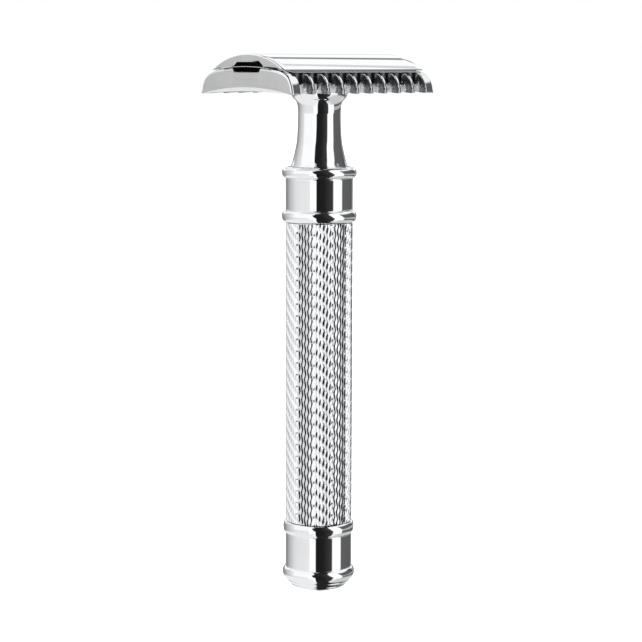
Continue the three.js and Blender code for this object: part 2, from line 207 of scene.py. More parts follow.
MAT = {}
MAT["turned"] = chrome("chrome_turned", lines=(0.03, 0.03, 1.0), line_amt=0.012, line_scale=7000.0)
MAT["cap"] = chrome("chrome_cap", tint=(0.93, 0.935, 0.94), low=(0.87, 0.875, 0.885), lines=(0.05, 1.0, 1.0), line_amt=0.010, line_scale=6000.0)
MAT["plate"] = chrome("chrome_plate", tint=(0.86, 0.865, 0.875), low=(0.77, 0.78, 0.80), rough=(0.04, 0.11), lines=(0.2, 1.0, 1.0), line_amt=0.02, line_scale=5000.0)
MAT["slot_wall"] = chrome("chrome_slot_wall", tint=(0.80, 0.805, 0.82), low=(0.62, 0.63, 0.65), rough=(0.07, 0.18), lines=(1.0, 1.0, 0.12), line_amt=0.05, line_scale=5200.0)
def slot_painted_shade():
    """Slot walls between the teeth with painted shade: near-black and rough above, with painted light low down where
    the lower lip is made brighter and less metallic.
    """
    m, n, bs, tc = new_material("chrome_slot_painted_shade")
    z = n.new("ShaderNodeSeparateXYZ")
    n.link(tc, z.inputs[0])
    ragged = n.noise(tc, 900.0, 3.0, 0.6)
    grain = n.noise(tc, 3800.0, 4.0, 0.7)
    edge = n.math("ADD", z.outputs[2], n.math("MULTIPLY", n.math("SUBTRACT", ragged, 0.5), 0.0022))
    # mask of the lower slot, where painted light replaces the painted shade
    low = n.remap(edge, (TIP_Z + 1.65) * MM, (TIP_Z + 2.05) * MM, 1.0, 0.0)
    n.put(bs.inputs["Metallic"], n.remap(low, 0.0, 1.0, 1.0, 0.25))
    # dark is the painted shade high in the slot, lite the painted light at its foot
    dark = n.mix(n.remap(grain, 0.35, 0.65, 0.0, 1.0), rgba(0.045, 0.046, 0.048), rgba(0.20, 0.203, 0.21))
    lite = n.mix(n.remap(grain, 0.35, 0.65, 0.0, 1.0), rgba(0.58, 0.585, 0.595), rgba(0.92, 0.925, 0.935))
    n.put(bs.inputs["Base Color"], n.mix(low, dark, lite))
    n.put(bs.inputs["Roughness"], n.remap(grain, 0.3, 0.7, 0.16, 0.34))
    n.put(bs.inputs["Normal"], n.bump(n.math("ADD", grain, ragged), 0.30, 0.00008))
    return m
MAT["slot_wall"] = slot_painted_shade()
def tooth_flank_painted_shade():
    """Flank of a tooth with painted shade: near-black higher up, with painted light at the foot of the slot towards its
    root.
    """
    m, n, bs, tc = new_material("chrome_tooth_flank_painted_shade")
    s = n.new("ShaderNodeSeparateXYZ")
    n.link(tc, s.inputs[0])
    ragged = n.noise(tc, 1100.0, 3.0, 0.6)
    grain = n.noise(tc, 3200.0, 4.0, 0.7)
    off = n.math("SUBTRACT", ragged, 0.5)
    low = n.remap(n.math("ADD", s.outputs[2], n.math("MULTIPLY", off, 0.0034)), (TIP_Z + 1.45) * MM, (TIP_Z + 2.00) * MM, 1.0, 0.0)
    inner = n.remap(n.math("ADD", n.math("ABSOLUTE", s.outputs[1]), n.math("MULTIPLY", off, 0.0012)), 10.45 * MM, 10.80 * MM, 1.0, 0.0)
    # lit marks the painted light at the foot; the rest of the flank gets painted shade
    lit = n.math("MULTIPLY", low, inner)
    n.put(bs.inputs["Metallic"], n.remap(lit, 0.0, 1.0, 1.0, 0.2))
    dark = n.mix(n.remap(grain, 0.35, 0.65, 0.0, 1.0), rgba(0.055, 0.056, 0.058), rgba(0.34, 0.343, 0.35))
    lite = n.mix(n.remap(grain, 0.35, 0.65, 0.0, 1.0), rgba(0.26, 0.263, 0.27), rgba(0.80, 0.805, 0.815))
    n.put(bs.inputs["Base Color"], n.mix(lit, dark, lite))
    n.put(bs.inputs["Roughness"], n.remap(grain, 0.3, 0.7, 0.16, 0.30))
    n.put(bs.inputs["Normal"], n.bump(n.math("ADD", grain, ragged), 0.22, 0.00006))
    return m
MAT["tooth_side"] = tooth_flank_painted_shade()
def recess():
    """Painted shade: near-black, matt material for the bottom of a cut."""
    m, n, bs, tc = new_material("recess_painted_shade")
    g = n.noise(tc, 3000.0, 4.0, 0.6)
    bs.inputs["Metallic"].default_value = 0.0
    bs.inputs["Specular IOR Level"].default_value = 0.12
    # near-black base colour painted in as the shade inside the cut
    n.put(bs.inputs["Base Color"], n.mix(g, rgba(0.003, 0.003, 0.003), rgba(0.012, 0.012, 0.012)))
    n.put(bs.inputs["Roughness"], n.remap(g, 0.3, 0.7, 0.6, 0.85))
    n.put(bs.inputs["Normal"], n.bump(g, 0.2, 0.00005))
    return m
MAT["recess"] = recess()
MAT["end_face"] = satin("satin_end_face", (0.61, 0.61, 0.615), (0.50, 0.504, 0.51), (0.24, 0.36), (1.0, 0.035, 1.0), 9000.0, 0.10)
MAT["knurl"] = chrome("chrome_knurl", tint=(0.90, 0.905, 0.915), low=(0.80, 0.81, 0.83), rough=(0.04, 0.10), lines=(1, 1, 1), line_amt=0.02, line_scale=9000.0)
MAT["blade"] = satin("blade_steel", (0.70, 0.705, 0.71), (0.56, 0.565, 0.57), (0.20, 0.32), (0.02, 1.0, 1.0), 8000.0, 0.06)
MAT["blade_edge"] = satin("blade_ground_edge", (0.90, 0.905, 0.91), (0.78, 0.785, 0.79), (0.10, 0.20), (1.0, 0.03, 1.0), 12000.0, 0.08)
MAT["steel"] = satin("bright_steel", (0.66, 0.665, 0.67), (0.52, 0.525, 0.53), (0.22, 0.34), (0.03, 0.03, 1.0), 5000.0, 0.08)
MAT["brass"] = satin("machined_brass", (0.78, 0.60, 0.28), (0.64, 0.47, 0.20), (0.20, 0.34), (0.03, 0.03, 1.0), 6000.0, 0.10)

def rubber():
    m, n, bs, tc = new_material("nitrile_rubber")
    g = n.noise(tc, 4200.0, 4.0, 0.6)
    n.put(bs.inputs["Base Color"], n.mix(g, rgba(0.018, 0.018, 0.019), rgba(0.04, 0.04, 0.042)))
    n.put(bs.inputs["Roughness"], n.remap(g, 0.3, 0.7, 0.5, 0.72))
    n.put(bs.inputs["Normal"], n.bump(g, 0.2, 0.00004))
    return m
MAT["rubber"] = rubber()

# ------------------------------------------------------------------ mesh helpers
def finish_mesh(name, bm, mats, sharp=34.0, smooth=True):
    me = bpy.data.meshes.new(name)
    bm.normal_update()
    bm.to_mesh(me)
    bm.free()
    for m in mats:
        me.materials.append(m)
    for p in me.polygons:
        p.use_smooth = smooth
    if smooth:
        me.set_sharp_from_angle(angle=math.radians(sharp))
    ob = bpy.data.objects.new(name, me)
    scene.collection.objects.link(ob)
    return ob

def catmull(pts, steps):
    """Smooth curve through (r, z) points."""
    out = []
    for i in range(len(pts) - 1):
        p0 = pts[max(i - 1, 0)]; p1 = pts[i]; p2 = pts[i + 1]; p3 = pts[min(i + 2, len(pts) - 1)]
        for k in range(steps):
            t = k / steps
            out.append(tuple(0.5 * ((2 * p1[j]) + (-p0[j] + p2[j]) * t + (2 * p0[j] - 5 * p1[j] + 4 * p2[j] - p3[j]) * t * t
                                    + (-p0[j] + 3 * p1[j] - 3 * p2[j] + p3[j]) * t ** 3) for j in range(2)))
    out.append(tuple(pts[-1]))
    return out

def arc(cr, cz, r, a0, a1, n):
    return [(cr + r * math.cos(math.radians(a0 + (a1 - a0) * i / n)), cz + r * math.sin(math.radians(a0 + (a1 - a0) * i / n))) for i in range(n + 1)]

def round_bead(r, z0, z1, rmax, n=24, power=3.0):
    """Bead that swells from r to rmax; a larger power gives a flatter face."""
    out = []
    zc, h = (z0 + z1) / 2, (z1 - z0) / 2
    for i in range(n + 1):
        t = -math.cos(math.pi * i / n)
        out.append((r + (rmax - r) * math.sqrt(max(0.0, 1 - abs(t) ** power)), zc + t * h))
    return out

def lathe(name, loop, mats, seg=144, sharp=34.0, pick=None):
    """Closed (r, z) loop in millimetres turned about Z. Points on the axis become poles."""
    bm = bmesh.new()
    rings = []
    for r, z in loop:
        if r < 1e-6:
            rings.append([bm.verts.new((0, 0, z * MM))])
        else:
            rings.append([bm.verts.new((r * MM * math.cos(2 * math.pi * k / seg), r * MM * math.sin(2 * math.pi * k / seg), z * MM)) for k in range(seg)])
    closed = not (loop[0][0] < 1e-6 and loop[-1][0] < 1e-6)
    m = len(loop)
    for i in range(m if closed else m - 1):
        A, B = rings[i], rings[(i + 1) % m]
        for k in range(seg):
            k2 = (k + 1) % seg
            if len(A) == 1 and len(B) == 1:
                break
            if len(A) == 1:
                f = bm.faces.new((A[0], B[k2], B[k]))
            elif len(B) == 1:
                f = bm.faces.new((A[k], A[k2], B[0]))
            else:
                f = bm.faces.new((A[k], A[k2], B[k2], B[k]))
            if pick:
                f.material_index = pick(loop[i], loop[(i + 1) % m])
    bmesh.ops.recalc_face_normals(bm, faces=bm.faces[:])
    return finish_mesh(name, bm, mats, sharp)

def boolean(ob, cutter, op="DIFFERENCE"):
    """Applies a boolean and drops the cutter."""
    md = ob.modifiers.new("cut", "BOOLEAN")
    md.operation = op
    md.solver = "EXACT"
    md.object = cutter
    bpy.context.view_layer.update()
    dg = bpy.context.evaluated_depsgraph_get()
    me = bpy.data.meshes.new_from_object(ob.evaluated_get(dg))
    ob.modifiers.clear()
    old = ob.data
    ob.data = me
    bpy.data.meshes.remove(old)
    cm = cutter.data
    bpy.data.objects.remove(cutter)
    bpy.data.meshes.remove(cm)

def prism(name, outline, place, lo, hi):
    """Closed prism: place(u, v, w) turns outline point (u, v) and height w into a position in mm."""
    bm = bmesh.new()
    A = [bm.verts.new([c * MM for c in place(u, v, lo)]) for u, v in outline]
    B = [bm.verts.new([c * MM for c in place(u, v, hi)]) for u, v in outline]
    bm.faces.new(A)
    bm.faces.new(B[::-1])
    for i in range(len(A)):
        j = (i + 1) % len(A)
        bm.faces.new((A[i], B[i], B[j], A[j]))
    bmesh.ops.recalc_face_normals(bm, faces=bm.faces[:])
    return finish_mesh(name, bm, [], smooth=False)

def stepped(name, sections):
    """Closed solid along X through equal-length (y, z) sections [(x, outline), ...]."""
    bm = bmesh.new()
    rows = [[bm.verts.new((x * MM, y * MM, z * MM)) for y, z in o] for x, o in sections]
    bm.faces.new(rows[0])
    bm.faces.new(rows[-1][::-1])
    for A, B in zip(rows, rows[1:]):
        for i in range(len(A)):
            j = (i + 1) % len(A)
            bm.faces.new((A[i], B[i], B[j], A[j]))
    bmesh.ops.recalc_face_normals(bm, faces=bm.faces[:])
    return finish_mesh(name, bm, [], smooth=False)

def disc_outline(r, cx=0.0, cy=0.0, n=64):
    return [(cx + r * math.cos(2 * math.pi * i / n), cy + r * math.sin(2 * math.pi * i / n)) for i in range(n)]

upright = lambda u, v, w: (u, v, w)
along_x = lambda u, v, w: (w, u, v)

def stand_for(ob, body, slot, *nodes):
    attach(ob, body)
    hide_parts(*nodes)

def blade_z(y):
    return TIP_Z + CROWN - SAG * y * y

# ------------------------------------------------------------------ handle: neck
neck_side = catmull([(5.80, COLLAR_TOP + 0.22), (5.70, 87.68), (5.44, 88.4), (5.15, 89.5), (4.87, 90.75), (4.68, 91.7),
                     (4.55, 92.7), (4.44, 94.2), (4.37, 96.0), (4.345, 97.8), (4.38, 98.95), (4.47, 99.65), (4.65, 100.2),
                     (4.92, 100.62), (5.25, 101.0), (5.52, 101.4), (5.68, 101.9)], 5)
flange = arc(5.66, NECK_TOP - 0.10, 0.09, 0, 90, 4)
neck_loop = [(3.9, 84.0), (3.9, COLLAR_TOP + 0.03), (5.78, COLLAR_TOP + 0.03), (5.82, COLLAR_TOP + 0.10)] + neck_side + flange \
    + [(3.55, NECK_TOP), (3.36, NECK_TOP - 0.14), (3.36, 93.0), (2.75, 93.0), (2.75, 84.0)]
neck = lathe("neck_turned", neck_loop, [MAT["turned"]])
stand_for(neck, "handle", "chrome_turned", "neck")

# threaded brass bush in the neck's mouth
def thread_tube(name, r_out, r_in, z0, z1, pitch, depth, mats, inner=True, seg=56, taper=0.5):
    """Tube or bar with a real helical thread. inner puts it on the bore, else on the outside."""
    per = 8
    rows = int(round((z1 - z0) / pitch * per))
    bm = bmesh.new()
    grid = []
    for j in range(rows + 1):
        z = z0 + (z1 - z0) * j / rows
        row = []
        for k in range(seg):
            th = 2 * math.pi * k / seg
            ph = (z / pitch - th / (2 * math.pi)) % 1.0
            tri = abs(2 * ph - 1)
            tri = min(1.0, max(0.0, (tri - 0.08) / 0.80))
            fade = min(1.0, (z - z0) / taper, (z1 - z) / taper) if taper > 0 else 1.0
            fade = max(0.0, fade)
            if inner:
                r = r_in - depth * tri * fade + 0.0
                r = r_in + depth * (1 - tri) * fade
            else:
                r = r_out - depth * tri if fade >= 1 else r_out - depth * (tri * fade + (1 - fade))
            row.append(bm.verts.new((r * MM * math.cos(th), r * MM * math.sin(th), z * MM)))
        grid.append(row)
    for j in range(rows):
        for k in range(seg):
            k2 = (k + 1) % seg
            bm.faces.new((grid[j][k], grid[j][k2], grid[j + 1][k2], grid[j + 1][k]))
    if inner:
        lo = [bm.verts.new((r_out * MM * math.cos(2 * math.pi * k / seg), r_out * MM * math.sin(2 * math.pi * k / seg), z0 * MM)) for k in range(seg)]
        hi = [bm.verts.new((r_out * MM * math.cos(2 * math.pi * k / seg), r_out * MM * math.sin(2 * math.pi * k / seg), z1 * MM)) for k in range(seg)]
        for k in range(seg):
            k2 = (k + 1) % seg
            bm.faces.new((grid[0][k], grid[0][k2], lo[k2], lo[k]))
            bm.faces.new((grid[-1][k], grid[-1][k2], hi[k2], hi[k]))
            bm.faces.new((lo[k], lo[k2], hi[k2], hi[k]))
    else:
        bm.faces.new(grid[0])
        bm.faces.new(grid[-1])
    bmesh.ops.recalc_face_normals(bm, faces=bm.faces[:])
    return finish_mesh(name, bm, mats, 50)

_qlo, _qhi = mm_box("thread_bush")
bush = thread_tube("thread_bush_cut", _qhi[0] - 0.01, STUD_R + 0.03, _qlo[2], _qhi[2], 0.8, 0.26, [MAT["brass"]], inner=True)
stand_for(bush, "handle", "brass", "thread_bush")

# ------------------------------------------------------------------ handle: collar
def groove(r, z, d=0.07, w=0.07):
    return [(r, z - w), (r - d, z), (r, z + w)]
collar_loop = [(4.0, GRIP_Z1 - 1.0), (5.68, GRIP_Z1 - 1.0), (5.68, GRIP_Z1 + 0.05), (6.6, GRIP_Z1 + 0.05), (6.78, GRIP_Z1 + 0.10)] \
    + round_bead(6.84, GRIP_Z1 + 0.14, 78.44, 7.63, 24, 2.3) + [(6.79, 78.50), (6.84, 78.56), (6.86, 78.64), (6.86, 78.72)] \
    + [(6.86, 80.5), (6.86, 82.5), (6.86, 84.74), (6.86, 84.82), (6.84, 84.90), (6.79, 84.95)] \
    + round_bead(6.84, 85.01, COLLAR_TOP - 0.08, 7.61, 24, 2.3) + [(6.6, COLLAR_TOP - 0.02), (4.0, COLLAR_TOP)]
collar = lathe("upper_collar_turned", collar_loop, [MAT["turned"]])
stand_for(collar, "handle", "chrome_turned", "upper_collar")

# ------------------------------------------------------------------ handle: end cap and foot
end_loop = [(4.61, 0.54), (4.68, 0.49)] \
    + catmull([(4.85, 0.50), (5.25, 0.57), (5.55, 0.70), (5.73, 0.86), (5.76, 0.97), (5.70, 1.04)], 4) + [(5.62, 1.07), (5.66, 1.10)] \
    + catmull([(5.80, 1.10), (6.10, 1.30), (6.38, 1.56), (6.57, 1.80), (6.61, 1.93), (6.56, 2.02)], 4) + [(6.48, 2.05), (6.54, 2.09)] \
    + catmull([(6.76, 2.10), (7.00, 2.30), (7.21, 2.60), (7.37, 3.00), (7.44, 3.45), (7.40, 3.85), (7.26, 4.22), (7.05, 4.52), (6.90, 4.66)], 5) \
    + [(6.81, 4.70), (6.80, 4.76), (6.83, 4.84), (6.83, 4.92), (6.83, 7.5), (6.83, 10.0), (6.83, 11.56), (6.83, 11.64), (6.82, 11.70), (6.79, 11.75)] \
    + round_bead(6.83, 11.81, GRIP_Z0 - 0.12, 7.31, 24, 2.2) + [(6.72, GRIP_Z0 - 0.06), (5.70, GRIP_Z0 - 0.04), (5.70, GRIP_Z0 + 2.8), (2.3, GRIP_Z0 + 2.8), (2.3, 8.0), (4.62, 8.0)]
end_cap = lathe("end_cap_turned", end_loop, [MAT["turned"]])
stand_for(end_cap, "handle", "chrome_turned", "end_cap")

foot_loop = [(0, 0), (1.7, 0)] + [(3.3, 0.0)] + arc(3.50, 0.14, 0.14, -90, 0, 5) + [(3.64, 0.24), (3.60, 0.28), (3.64, 0.31)] \
    + catmull([(3.78, 0.28), (4.15, 0.29), (4.42, 0.35), (4.53, 0.45)], 4) + [(4.56, 0.52), (4.56, 3.0), (3.6, 3.0), (3.6, 1.5), (0, 1.5)]
foot = lathe("foot_plug_turned", foot_loop, [MAT["turned"]])
stand_for(foot, "handle", "chrome_turned", "foot_plug")

# ------------------------------------------------------------------ handle: knurled grip
def knurled_sleeve():
    cols, P, R, bore = 64, 2.40, GRIP_R - 0.005, 5.78
    W = 2 * math.pi * R / cols
    fall = 0.61                                    # steepness of the facets' flanks
    z0, z1 = GRIP_Z0 + 0.02, GRIP_Z1 - 0.02
    n = int(round((z1 - z0) / 0.15))
    def cell(c, z):
        t = ((z - z1) / P + c / 4.0 + 0.5) % 1.0 - 0.5
        half = max(0.014, 0.285 * W * (1 - (t / 0.31) ** 2))
        drop = 0.10 * P * max(0.0, abs(t) - 0.24)
        return c * W + 0.050 * math.sin(2 * math.pi * t), half, drop
    bm = bmesh.new()
    grid = []
    for j in range(n + 1):
        z = z0 + (z1 - z0) * j / n
        rim = 0.10 * max(0.0, 1 - min(z - z0, z1 - z) / 0.16)
        row = []
        for c in range(cols):
            xp, lp, dp = cell(c - 1, z)
            xc, lc, dc = cell(c, z)
            xg = ((xp + lp + xc - lc) + (dc - dp) / fall) / 2
            rg = R - dp - fall * max(0.0, xg - xp - lp)
            for x, r in ((xg, rg), (xc - lc, R - dc), (xc + lc, R - dc)):
                r = min(r, R - rim)
                row.append(bm.verts.new((r * math.cos(x / R) * MM, r * math.sin(x / R) * MM, z * MM)))
        grid.append(row)
    m = 3 * cols
    for A, B in zip(grid, grid[1:]):
        for i in range(m):
            k = (i + 1) % m
            bm.faces.new((A[i], A[k], B[k], B[i]))
    inner = []
    for row in (grid[0], grid[-1]):
        ring = []
        for v in row:
            f = bore * MM / math.hypot(v.co.x, v.co.y)
            ring.append(bm.verts.new((v.co.x * f, v.co.y * f, v.co.z)))
        inner.append(ring)
        for i in range(m):
            k = (i + 1) % m
            bm.faces.new((row[i], row[k], ring[k], ring[i]))
    for i in range(m):
        k = (i + 1) % m
        bm.faces.new((inner[0][i], inner[0][k], inner[1][k], inner[1][i]))
    bmesh.ops.recalc_face_normals(bm, faces=bm.faces[:])
    return finish_mesh("grip_sleeve_knurled", bm, [MAT["knurl"]], 22.0)
grip = knurled_sleeve()
stand_for(grip, "handle", "chrome_knurl", "grip_sleeve")

# ------------------------------------------------------------------ head: comb plate
def shoulder_curve():
    """Top outline of the plate for y >= 0 as dense (y, z) points, millimetres above the frame's floor."""
    crown = [(y, blade_z(y) - BT / 2 - 0.03) for y in (0, 1, 2, 3, 4, 5, 6, 7, 8)]
    rest = [(8.6, blade_z(8.6) - BT / 2 - 0.03), (9.3, TIP_Z + 4.37), (9.9, TIP_Z + 4.17), (10.5, TIP_Z + 3.89), (11.05, TIP_Z + 3.52),
            (11.55, TIP_Z + 3.00), (11.95, TIP_Z + 2.34), (12.22, TIP_Z + 1.66), (12.38, TIP_Z + 1.00), (12.46, TIP_Z + 0.40), (12.46, TIP_Z + 0.06), (12.38, TIP_Z)]
    return crown + catmull(rest, 3)
TOP = shoulder_curve()
S = [0.0]
for (y0, z0), (y1, z1) in zip(TOP, TOP[1:]):
    S.append(S[-1] + math.hypot(y1 - y0, z1 - z0))
S_END = S[-1]
def at_s(s):
    """(y, z) and outward normal (ny, nz) of the top outline at signed arc length s."""
    sg = -1.0 if s < 0 else 1.0
    s = min(abs(s), S_END)
    for i in range(len(S) - 1):
        if s <= S[i + 1] or i == len(S) - 2:
            t = (s - S[i]) / (S[i + 1] - S[i])
            break
    (y0, z0), (y1, z1) = TOP[i], TOP[i + 1]
    def nrm(k):
        k0, k1 = max(k - 1, 0), min(k + 1, len(TOP) - 1)
        dy, dz = TOP[k1][0] - TOP[k0][0], TOP[k1][1] - TOP[k0][1]
        if k == 0: return (0.0, 1.0)
        L = math.hypot(dy, dz)
        return (-dz / L, dy / L)
    n0, n1 = nrm(i), nrm(i + 1)
    ny, nz = n0[0] + (n1[0] - n0[0]) * t, n0[1] + (n1[1] - n0[1]) * t
    return sg * (y0 + (y1 - y0) * t), z0 + (z1 - z0) * t, sg * ny, nz
def s_of_y(y):
    for i in range(len(TOP) - 1):
        if y <= TOP[i + 1][0]:
            t = (y - TOP[i][0]) / max(1e-9, TOP[i + 1][0] - TOP[i][0])
            return S[i] + t * (S[i + 1] - S[i])
    return S_END

def comb_plate():
    PITCH, NS, SH, ROOT = 4.2, 9, 1.72, 9.35
    rows = [x for x in S if x > 0]
    wall_rows = [x for x in rows if x > s_of_y(ROOT + SH) + 0.05]
    # boundary loop in (x, s), anticlockwise
    def slot_points(x, sgn):
        """From the tooth tip on one side of the slot round its root to the other, x increasing."""
        pts = [(x - SH, s) for s in reversed(wall_rows)]
        n = 14
        for k in range(n + 1):
            a_ = math.pi + math.pi * k / n          # left, bottom (root), right
            yy = (ROOT + SH) + SH * math.sin(a_)
            pts.append((x + SH * math.cos(a_), s_of_y(yy)))
        pts += [(x + SH, s) for s in wall_rows]
        return [(px, sgn * ps) for px, ps in pts]
    xs = [(i - (NS - 1) / 2) * PITCH for i in range(NS)]
    loop = [(-HALF_L, -S_END)]
    def front(x0, x1, s):
        n = max(1, int(round(abs(x1 - x0) / 0.6)))
        return [(x0 + (x1 - x0) * k / n, s) for k in range(1, n)]
    px = -HALF_L
    for x in xs:
        loop += front(px, x - SH, -S_END)
        sp = slot_points(x, -1)
        loop += sp
        px = x + SH
    loop += front(px, HALF_L, -S_END)
    loop.append((HALF_L, -S_END))
    loop += [(HALF_L, -s) for s in reversed(rows[:-1])] + [(HALF_L, 0.0)] + [(HALF_L, s) for s in rows[:-1]]
    loop.append((HALF_L, S_END))
    px = HALF_L
    for x in reversed(xs):
        loop += front(px, x + SH, S_END)
        loop += slot_points(x, 1)[::-1]
        px = x - SH
    loop += front(px, -HALF_L, S_END)
    loop.append((-HALF_L, S_END))
    loop += [(-HALF_L, s) for s in reversed(rows[:-1])] + [(-HALF_L, 0.0)] + [(-HALF_L, -s) for s in rows[:-1]]
    # drop doubled points
    clean = []
    for p in loop:
        if not clean or math.hypot(p[0] - clean[-1][0], p[1] - clean[-1][1]) > 1e-4:
            clean.append(p)
    if math.hypot(clean[0][0] - clean[-1][0], clean[0][1] - clean[-1][1]) < 1e-4:
        clean.pop()
    loop = clean
    n = len(loop)
    def inset(d):
        out = []
        for i in range(n):
            p0, p1, p2 = loop[i - 1], loop[i], loop[(i + 1) % n]
            e1 = (p1[0] - p0[0], p1[1] - p0[1]); e2 = (p2[0] - p1[0], p2[1] - p1[1])
            l1, l2 = math.hypot(*e1), math.hypot(*e2)
            n1 = (-e1[1] / l1, e1[0] / l1); n2 = (-e2[1] / l2, e2[0] / l2)   # inward for an anticlockwise loop
            m = (n1[0] + n2[0], n1[1] + n2[1])
            q = max(0.35, (m[0] * m[0] + m[1] * m[1]) / 2)
            kx = 1.8 if abs(p1[0]) > HALF_L - 1e-6 else 1.0       # the end faces have a larger edge radius
            out.append((p1[0] + m[0] / q * d * kx, p1[1] + m[1] / q * d * (1.0 if abs(p1[1]) > S_END - 1e-6 else kx)))
        return out
    RAD = 0.26
    rings = []
    for ang in (0, 22.5, 45, 67.5, 90):
        q = math.radians(ang)
        rings.append((inset(RAD * (1 - math.cos(q)) + (0.0 if ang == 0 else 0.0)), RAD * (1 - math.sin(q))))
    bm = bmesh.new()
    def top_pos(x, s, f):
        y, z, ny, nz = at_s(s)
        return Vector((x, y - ny * f, z - nz * f)) * MM
    def low_pos(x, s):
        y, z, ny, nz = at_s(s)
        yy = y * 0.955
        q = 1 - min(1.0, abs(yy) / 12.4) ** 2
        return Vector((x, yy, TIP_Z + max(0.55 * q, 1.35 * q - (HALF_L - abs(x))))) * MM      # deeper arch at the ends, run out at 45 degrees
    ringv = [[bm.verts.new(top_pos(x, s, f * (1.8 if abs(loop[i][0]) > HALF_L - 1e-6 and abs(loop[i][1]) < S_END - 0.6 else 1.0))) for i, (x, s) in enumerate(pts)] for pts, f in rings]
    for r in range(len(rings) - 1):
        A, B = ringv[r], ringv[r + 1]
        for i in range(n):
            j = (i + 1) % n
            bm.faces.new((A[i], A[j], B[j], B[i]))
    inner = rings[-1][0]
    def inside(x, s, gap=0.22):
        if abs(x) > HALF_L - 1.8 * RAD - gap or abs(s) > S_END - RAD - gap:
            return False
        y = abs(at_s(s)[0])
        for c in xs:
            dx = abs(x - c)
            if abs(s) >= s_of_y(ROOT + SH):
                if dx < SH + RAD + gap: return False
            else:
                if math.hypot(dx, (ROOT + SH) - y) < SH + RAD + gap: return False
        return True
    pts2 = [Vector(p) for p in inner]
    grid_x = [(-HALF_L + 0.7 + k * (2 * HALF_L - 1.4) / 60) for k in range(61)]
    grid_x += [c + PITCH / 2 for c in xs[:-1]]
    for s0 in [0.0] + [v for v in rows] :
        for sg in ((1,) if s0 == 0 else (1, -1)):
            for x in grid_x:
                if inside(x, sg * s0):
                    pts2.append(Vector((x, sg * s0)))
    edges = [(i, (i + 1) % n) for i in range(n)]
    vco, ed, fa, ov, oe, of_ = delaunay_2d_cdt(pts2, edges, [], 1, 1e-6)
    bv = []
    for k, co in enumerate(vco):
        src = [o for o in ov[k] if o < n]
        bv.append(ringv[-1][src[0]] if src else bm.verts.new(top_pos(co.x, co.y, 0.0)))
    bm.verts.index_update()
    for f in fa:
        q = [bv[i] for i in f]
        if len(set(q)) == len(q):
            try: bm.faces.new(q)
            except ValueError: pass
    # underside: same layout, pressed onto the arch
    low0 = [bm.verts.new(low_pos(x, s)) for x, s in loop]
    for i in range(n):
        j = (i + 1) % n
        bm.faces.new((ringv[0][i], low0[i], low0[j], ringv[0][j]))
    pts3 = [Vector(p) for p in loop]
    for s0 in [0.0] + rows[::2]:
        for sg in ((1,) if s0 == 0 else (1, -1)):
            for x in grid_x[::2]:
                if inside(x, sg * s0, 0.1):
                    pts3.append(Vector((x, sg * s0)))
    for s0 in [0.0] + rows[:-2]:
        for sg in ((1,) if s0 == 0 else (1, -1)):
            q = 1 - (at_s(s0)[0] * 0.955 / 12.4) ** 2
            for sx in (-1, 1):
                if 0.80 * q > 0.06:
                    pts3.append(Vector((sx * (HALF_L - 0.80 * q), sg * s0)))
    vco, ed, fa, ov, oe, of_ = delaunay_2d_cdt(pts3, edges, [], 1, 1e-6)
    bv = []
    for k, co in enumerate(vco):
        src = [o for o in ov[k] if o < n]
        bv.append(low0[src[0]] if src else bm.verts.new(low_pos(co.x, co.y)))
    for f in fa:
        q = [bv[i] for i in reversed(f)]
        if len(set(q)) == len(q):
            try: bm.faces.new(q)
            except ValueError: pass
    bmesh.ops.recalc_face_normals(bm, faces=bm.faces[:])
    ob = finish_mesh("comb_plate_cast", bm, [MAT["plate"], MAT["end_face"], MAT["slot_wall"], MAT["recess"], MAT["tooth_side"]], 40.0)
    # flat round seat for the handle
    boolean(ob, prism("s", disc_outline(6.1, n=96), upright, TIP_Z - 2, TIP_Z + 0.7))
    boolean(ob, prism("h", disc_outline(STUD_R + 0.15, n=72), upright, TIP_Z - 2, TIP_Z + 8))
    for sgn in (-1, 1):
        boolean(ob, prism("h", disc_outline(PIN_R + 0.15, sgn * PIN_X, 0, 48), upright, TIP_Z - 2, TIP_Z + 8))
        t = TIP_Z
        o = [(-4.0, t + 6.0), (-4.0, t + 5.25), (-3.35, t + 4.35), (3.35, t + 4.35), (4.0, t + 5.25), (4.0, t + 6.0)]
        out_ = [(-4.22, t + 6.0), (-4.22, t + 5.14), (-3.46, t + 4.15), (3.46, t + 4.15), (4.22, t + 5.14), (4.22, t + 6.0)]
        boolean(ob, stepped("n", [(sgn * (HALF_L - 3.0), o), (sgn * (HALF_L - 0.20), o), (sgn * (HALF_L + 0.03), out_), (sgn * (HALF_L + 0.6), out_)]))
    return ob

def paint(ob, rule, sharp=38.0):
    """Gives each face a material slot by rule(centre in mm, normal) and shades it."""
    for p in ob.data.polygons:
        p.use_smooth = True
        p.material_index = rule(p.center * 1000, p.normal)
    ob.data.set_sharp_from_angle(angle=math.radians(sharp))

plate = comb_plate()
def plate_rule(c, nrm):
    if abs(nrm.x) > 0.985 and abs(c.x) > HALF_L - 0.02:
        return 1
    # faces inside the end notches get the near-black painted shade
    if HALF_L - 3.1 < abs(c.x) < HALF_L - 0.19 and abs(c.y) < 4.03 and c.z > TIP_Z + 4.3 and (abs(nrm.x) > 0.5 or abs(nrm.y) > 0.5 or c.z < TIP_Z + 4.6):
        return 3
    if abs(nrm.z) < 0.35 and abs(c.y) > 8.9 and abs(c.x) < HALF_L - 0.3 and abs(c.y) < 12.3 and (abs(nrm.x) > 0.3 or abs(nrm.y) > 0.3):
        # vertical walls inside the slots face along X or back outwards; they take the slot and tooth-flank materials
        # with painted shade and painted light
        y = abs(c.y)
        near_front = (c.y * nrm.y > 0) and abs(nrm.x) < 0.2 and y > 11.5
        return 0 if near_front else (4 if abs(nrm.x) > 0.80 else 2)
    return 0
paint(plate, plate_rule)
stand_for(plate, "comb_plate", "chrome_cast", "comb_plate")

